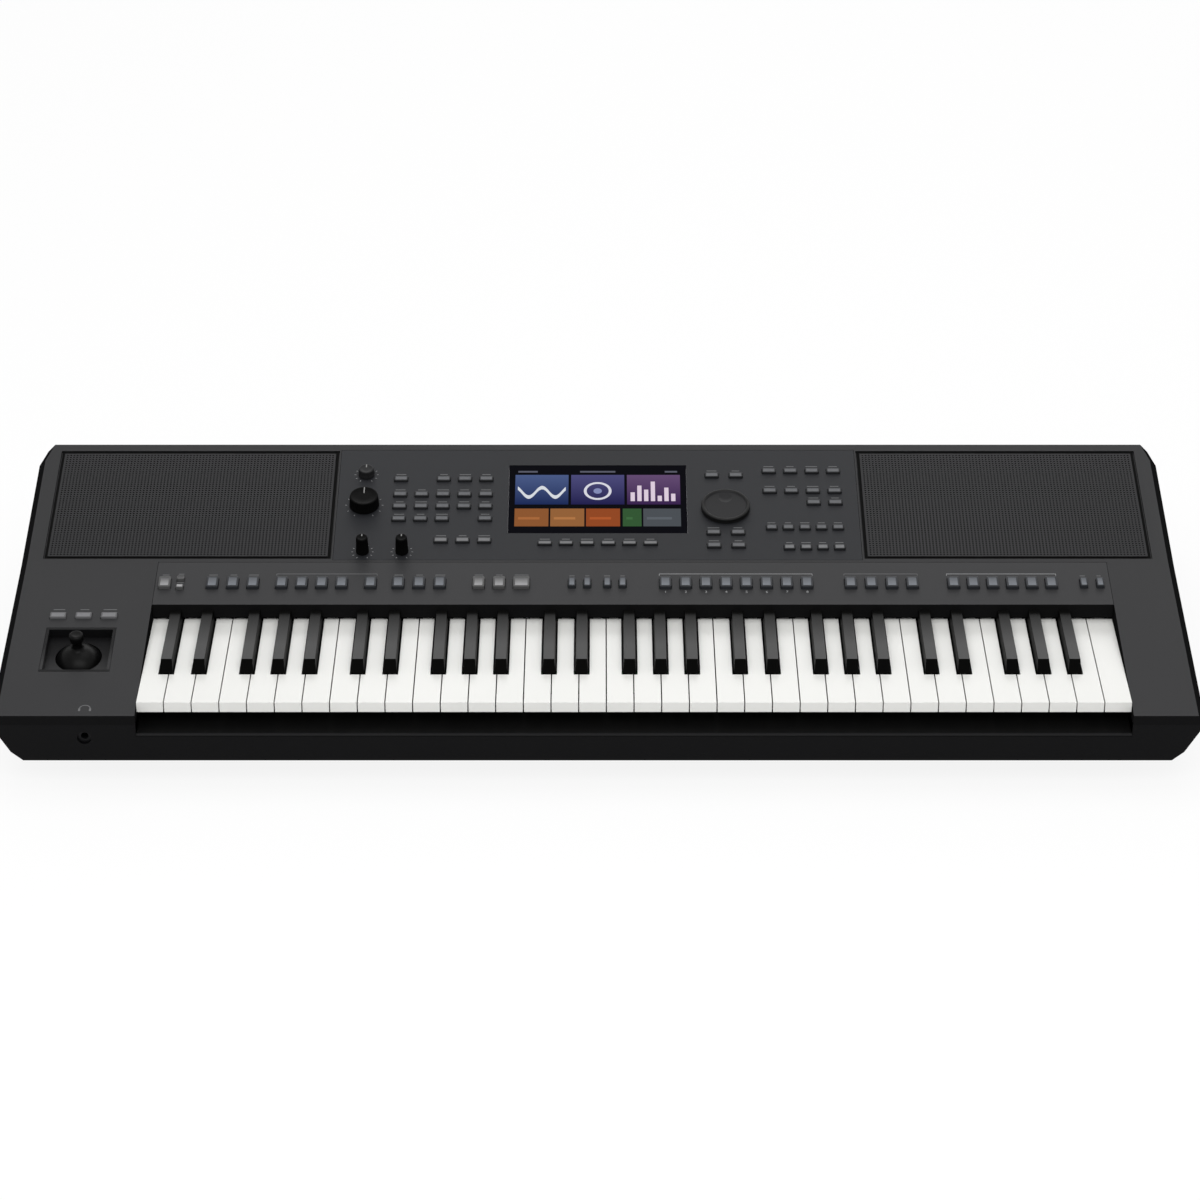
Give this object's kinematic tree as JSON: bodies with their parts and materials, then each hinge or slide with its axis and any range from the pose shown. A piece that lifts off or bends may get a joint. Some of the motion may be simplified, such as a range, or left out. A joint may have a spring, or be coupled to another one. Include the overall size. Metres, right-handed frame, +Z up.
{
  "type": "arranger keyboard",
  "caption": "Electric arranger keyboard with full size hinged keys, sloped button panel, touch display, speaker grilles, knobs, data dial and joystick.",
  "frame": {"origin": "on the table under the middle of the footprint", "axes": "+X along the keys to the player's right, +Y from the player to the back, +Z up"},
  "size_m": [1.03, 0.43, 0.1376],
  "materials": {
    "case_dark": "fine grained dark plastic",
    "case_top": "fine grained dark grey plastic",
    "slip": "matte black",
    "panel": "satin dark grey",
    "strip": "satin dark grey",
    "grille": "perforated sheet painted dark grey",
    "glass": "smooth touch glass",
    "module": "pressed tray",
    "chassis": "folded sheet",
    "rod": "drawn rod",
    "board": "green circuit board",
    "dome_rubber": "soft rubber",
    "driver": "painted basket and magnet",
    "socket": "black socket plastic",
    "foot_rubber": "soft rubber",
    "screw": "zinc plated",
    "joystick_well": "matte black",
    "joystick_ring": "matte black",
    "joystick_stick": "satin black",
    "dial": "satin dark grey",
    "knob": "satin black",
    "bright_cap": "light grey translucent plastic",
    "strip_cap": "grey translucent plastic",
    "block_cap": "grey plastic",
    "panel_cap": "grey plastic",
    "white_key": "glossy white",
    "black_key": "satin black"
  },
  "bodies": {
    "case": {"lower_case": "case_dark", "upper_case": "case_top", "key_slip": "slip", "control_panel": "panel", "strip_panel": "strip", "grille_left": "grille", "grille_right": "grille", "display_glass": "glass", "display_module": "module", "key_frame": "chassis", "key_pivot_rod": "rod", "contact_board": "board", "contact_domes": "dome_rubber", "main_board": "board", "switch_boards": "board", "woofers": "driver", "rear_sockets": "socket", "headphone_jack": "socket", "rubber_feet": "foot_rubber", "case_screws": "screw", "joystick_surround": "joystick_well"},
    "tempo_buttons": {"tempo_buttons": "bright_cap"},
    "intro_buttons": {"intro_buttons": "strip_cap"},
    "variation_buttons": {"variation_buttons": "strip_cap"},
    "ending_buttons": {"ending_buttons": "strip_cap"},
    "start_buttons": {"start_buttons": "bright_cap"},
    "transpose_buttons": {"transpose_buttons": "strip_cap"},
    "registration_buttons": {"registration_buttons": "strip_cap"},
    "one_touch_buttons": {"one_touch_buttons": "strip_cap"},
    "part_buttons": {"part_buttons": "strip_cap"},
    "octave_buttons": {"octave_buttons": "strip_cap"},
    "mod_buttons": {"mod_buttons": "block_cap"},
    "style_buttons": {"style_buttons": "panel_cap"},
    "song_buttons": {"song_buttons": "panel_cap"},
    "assign_buttons": {"assign_buttons": "panel_cap"},
    "menu_buttons": {"menu_buttons": "panel_cap"},
    "voice_buttons": {"voice_buttons": "panel_cap"},
    "tone_buttons": {"tone_buttons": "panel_cap"},
    "volume_knob": {"volume_knob": "knob"},
    "gain_knob": {"gain_knob": "knob"},
    "live_knob_left": {"live_knob_left": "knob"},
    "live_knob_right": {"live_knob_right": "knob"},
    "data_dial": {"data_dial": "dial"},
    "joystick_gimbal": {"joystick_gimbal": "joystick_ring"},
    "joystick_lever": {"joystick_lever": "joystick_stick"},
    "octave_1_keys_c_e_g_b": {"octave_1_keys_c_e_g_b": "white_key"},
    "octave_1_keys_d_f_a": {"octave_1_keys_d_f_a": "white_key"},
    "octave_1_black_keys": {"octave_1_black_keys": "black_key"},
    "octave_2_keys_c_e_g_b": {"octave_2_keys_c_e_g_b": "white_key"},
    "octave_2_keys_d_f_a": {"octave_2_keys_d_f_a": "white_key"},
    "octave_2_black_keys": {"octave_2_black_keys": "black_key"},
    "octave_3_keys_c_e_g_b": {"octave_3_keys_c_e_g_b": "white_key"},
    "octave_3_keys_d_f_a": {"octave_3_keys_d_f_a": "white_key"},
    "octave_3_black_keys": {"octave_3_black_keys": "black_key"},
    "octave_4_keys_c_e_g_b": {"octave_4_keys_c_e_g_b": "white_key"},
    "octave_4_keys_d_f_a": {"octave_4_keys_d_f_a": "white_key"},
    "octave_4_black_keys": {"octave_4_black_keys": "black_key"},
    "octave_5_keys_c_e_g_b": {"octave_5_keys_c_e_g_b": "white_key"},
    "octave_5_keys_d_f_a": {"octave_5_keys_d_f_a": "white_key"},
    "octave_5_black_keys": {"octave_5_black_keys": "black_key"}
  },
  "joints": [
    {"name": "tempo_buttons_press", "type": "slide", "parent": "case", "child": "tempo_buttons", "axis": [0, 0.1435, -0.9897], "range_m": [0, 0.0012], "stiffness_N_per_m": 900, "springref_m": -0.002},
    {"name": "intro_buttons_press", "type": "slide", "parent": "case", "child": "intro_buttons", "axis": [0, 0.1435, -0.9897], "range_m": [0, 0.0012], "stiffness_N_per_m": 900, "springref_m": -0.002},
    {"name": "variation_buttons_press", "type": "slide", "parent": "case", "child": "variation_buttons", "axis": [0, 0.1435, -0.9897], "range_m": [0, 0.0012], "stiffness_N_per_m": 1500, "springref_m": -0.002},
    {"name": "ending_buttons_press", "type": "slide", "parent": "case", "child": "ending_buttons", "axis": [0, 0.1435, -0.9897], "range_m": [0, 0.0012], "stiffness_N_per_m": 900, "springref_m": -0.002},
    {"name": "start_buttons_press", "type": "slide", "parent": "case", "child": "start_buttons", "axis": [0, 0.1435, -0.9897], "range_m": [0, 0.0012], "stiffness_N_per_m": 900, "springref_m": -0.002},
    {"name": "transpose_buttons_press", "type": "slide", "parent": "case", "child": "transpose_buttons", "axis": [0, 0.1435, -0.9897], "range_m": [0, 0.0012], "stiffness_N_per_m": 1200, "springref_m": -0.002},
    {"name": "registration_buttons_press", "type": "slide", "parent": "case", "child": "registration_buttons", "axis": [0, 0.1435, -0.9897], "range_m": [0, 0.0012], "stiffness_N_per_m": 2400, "springref_m": -0.002},
    {"name": "one_touch_buttons_press", "type": "slide", "parent": "case", "child": "one_touch_buttons", "axis": [0, 0.1435, -0.9897], "range_m": [0, 0.0012], "stiffness_N_per_m": 1200, "springref_m": -0.002},
    {"name": "part_buttons_press", "type": "slide", "parent": "case", "child": "part_buttons", "axis": [0, 0.1435, -0.9897], "range_m": [0, 0.0012], "stiffness_N_per_m": 1800, "springref_m": -0.002},
    {"name": "octave_buttons_press", "type": "slide", "parent": "case", "child": "octave_buttons", "axis": [0, 0.1435, -0.9897], "range_m": [0, 0.0012], "stiffness_N_per_m": 600, "springref_m": -0.002},
    {"name": "mod_buttons_press", "type": "slide", "parent": "case", "child": "mod_buttons", "axis": [0, 0.1435, -0.9897], "range_m": [0, 0.0012], "stiffness_N_per_m": 900, "springref_m": -0.002},
    {"name": "style_buttons_press", "type": "slide", "parent": "case", "child": "style_buttons", "axis": [0, 0.1985, -0.9801], "range_m": [0, 0.0012], "stiffness_N_per_m": 4200, "springref_m": -0.002},
    {"name": "song_buttons_press", "type": "slide", "parent": "case", "child": "song_buttons", "axis": [0, 0.1985, -0.9801], "range_m": [0, 0.0012], "stiffness_N_per_m": 2100, "springref_m": -0.002},
    {"name": "assign_buttons_press", "type": "slide", "parent": "case", "child": "assign_buttons", "axis": [0, 0.1985, -0.9801], "range_m": [0, 0.0012], "stiffness_N_per_m": 1800, "springref_m": -0.002},
    {"name": "menu_buttons_press", "type": "slide", "parent": "case", "child": "menu_buttons", "axis": [0, 0.1985, -0.9801], "range_m": [0, 0.0012], "stiffness_N_per_m": 1800, "springref_m": -0.002},
    {"name": "voice_buttons_press", "type": "slide", "parent": "case", "child": "voice_buttons", "axis": [0, 0.1985, -0.9801], "range_m": [0, 0.0012], "stiffness_N_per_m": 3000, "springref_m": -0.002},
    {"name": "tone_buttons_press", "type": "slide", "parent": "case", "child": "tone_buttons", "axis": [0, 0.1985, -0.9801], "range_m": [0, 0.0012], "stiffness_N_per_m": 2700, "springref_m": -0.002},
    {"name": "volume_knob_turn", "type": "hinge", "parent": "case", "child": "volume_knob", "pos_m": [-0.212, 0.07343, 0.12028], "axis": [0, -0.1985, 0.9801], "range_deg": [-150, 150]},
    {"name": "gain_knob_turn", "type": "hinge", "parent": "case", "child": "gain_knob", "pos_m": [-0.212, 0.11606, 0.12891], "axis": [0, -0.1985, 0.9801], "range_deg": [-150, 150]},
    {"name": "live_knob_left_turn", "type": "hinge", "parent": "case", "child": "live_knob_left", "pos_m": [-0.2105, 0.00972, 0.10737], "axis": [0, -0.1985, 0.9801], "range_deg": [-150, 150]},
    {"name": "live_knob_right_turn", "type": "hinge", "parent": "case", "child": "live_knob_right", "pos_m": [-0.1752, 0.00972, 0.10737], "axis": [0, -0.1985, 0.9801], "range_deg": [-150, 150]},
    {"name": "data_dial_turn", "type": "hinge", "parent": "case", "child": "data_dial", "pos_m": [0.116, 0.06902, 0.11938], "axis": [0, -0.1985, 0.9801], "continuous": true},
    {"name": "joystick_sideways", "type": "hinge", "parent": "case", "child": "joystick_gimbal", "pos_m": [-0.45, -0.12348, 0.06656], "axis": [0, 0.9897, 0.1435], "range_deg": [-16, 16], "stiffness_Nm_per_rad": 0.08},
    {"name": "joystick_fore_aft", "type": "hinge", "parent": "joystick_gimbal", "child": "joystick_lever", "pos_m": [-0.45, -0.12348, 0.06656], "axis": [1, 0, 0], "range_deg": [-16, 16], "stiffness_Nm_per_rad": 0.08},
    {"name": "octave_1_keys_c_e_g_b_press", "type": "hinge", "parent": "case", "child": "octave_1_keys_c_e_g_b", "pos_m": [0.031, -0.0145, 0.075], "axis": [1, 0, 0], "range_deg": [0, 3], "stiffness_Nm_per_rad": 2, "springref_deg": -17.19},
    {"name": "octave_1_keys_d_f_a_press", "type": "hinge", "parent": "case", "child": "octave_1_keys_d_f_a", "pos_m": [0.031, -0.0145, 0.075], "axis": [1, 0, 0], "range_deg": [0, 3], "stiffness_Nm_per_rad": 1.5, "springref_deg": -17.19},
    {"name": "octave_1_black_keys_press", "type": "hinge", "parent": "case", "child": "octave_1_black_keys", "pos_m": [0.031, -0.0145, 0.075], "axis": [1, 0, 0], "range_deg": [0, 3.4], "stiffness_Nm_per_rad": 2.5, "springref_deg": -17.19},
    {"name": "octave_2_keys_c_e_g_b_press", "type": "hinge", "parent": "case", "child": "octave_2_keys_c_e_g_b", "pos_m": [0.031, -0.0145, 0.075], "axis": [1, 0, 0], "range_deg": [0, 3], "stiffness_Nm_per_rad": 2, "springref_deg": -17.19},
    {"name": "octave_2_keys_d_f_a_press", "type": "hinge", "parent": "case", "child": "octave_2_keys_d_f_a", "pos_m": [0.031, -0.0145, 0.075], "axis": [1, 0, 0], "range_deg": [0, 3], "stiffness_Nm_per_rad": 1.5, "springref_deg": -17.19},
    {"name": "octave_2_black_keys_press", "type": "hinge", "parent": "case", "child": "octave_2_black_keys", "pos_m": [0.031, -0.0145, 0.075], "axis": [1, 0, 0], "range_deg": [0, 3.4], "stiffness_Nm_per_rad": 2.5, "springref_deg": -17.19},
    {"name": "octave_3_keys_c_e_g_b_press", "type": "hinge", "parent": "case", "child": "octave_3_keys_c_e_g_b", "pos_m": [0.031, -0.0145, 0.075], "axis": [1, 0, 0], "range_deg": [0, 3], "stiffness_Nm_per_rad": 2, "springref_deg": -17.19},
    {"name": "octave_3_keys_d_f_a_press", "type": "hinge", "parent": "case", "child": "octave_3_keys_d_f_a", "pos_m": [0.031, -0.0145, 0.075], "axis": [1, 0, 0], "range_deg": [0, 3], "stiffness_Nm_per_rad": 1.5, "springref_deg": -17.19},
    {"name": "octave_3_black_keys_press", "type": "hinge", "parent": "case", "child": "octave_3_black_keys", "pos_m": [0.031, -0.0145, 0.075], "axis": [1, 0, 0], "range_deg": [0, 3.4], "stiffness_Nm_per_rad": 2.5, "springref_deg": -17.19},
    {"name": "octave_4_keys_c_e_g_b_press", "type": "hinge", "parent": "case", "child": "octave_4_keys_c_e_g_b", "pos_m": [0.031, -0.0145, 0.075], "axis": [1, 0, 0], "range_deg": [0, 3], "stiffness_Nm_per_rad": 2, "springref_deg": -17.19},
    {"name": "octave_4_keys_d_f_a_press", "type": "hinge", "parent": "case", "child": "octave_4_keys_d_f_a", "pos_m": [0.031, -0.0145, 0.075], "axis": [1, 0, 0], "range_deg": [0, 3], "stiffness_Nm_per_rad": 1.5, "springref_deg": -17.19},
    {"name": "octave_4_black_keys_press", "type": "hinge", "parent": "case", "child": "octave_4_black_keys", "pos_m": [0.031, -0.0145, 0.075], "axis": [1, 0, 0], "range_deg": [0, 3.4], "stiffness_Nm_per_rad": 2.5, "springref_deg": -17.19},
    {"name": "octave_5_keys_c_e_g_b_press", "type": "hinge", "parent": "case", "child": "octave_5_keys_c_e_g_b", "pos_m": [0.031, -0.0145, 0.075], "axis": [1, 0, 0], "range_deg": [0, 3], "stiffness_Nm_per_rad": 2.5, "springref_deg": -17.19},
    {"name": "octave_5_keys_d_f_a_press", "type": "hinge", "parent": "case", "child": "octave_5_keys_d_f_a", "pos_m": [0.031, -0.0145, 0.075], "axis": [1, 0, 0], "range_deg": [0, 3], "stiffness_Nm_per_rad": 1.5, "springref_deg": -17.19},
    {"name": "octave_5_black_keys_press", "type": "hinge", "parent": "case", "child": "octave_5_black_keys", "pos_m": [0.031, -0.0145, 0.075], "axis": [1, 0, 0], "range_deg": [0, 3.4], "stiffness_Nm_per_rad": 2.5, "springref_deg": -17.19}
  ]
}
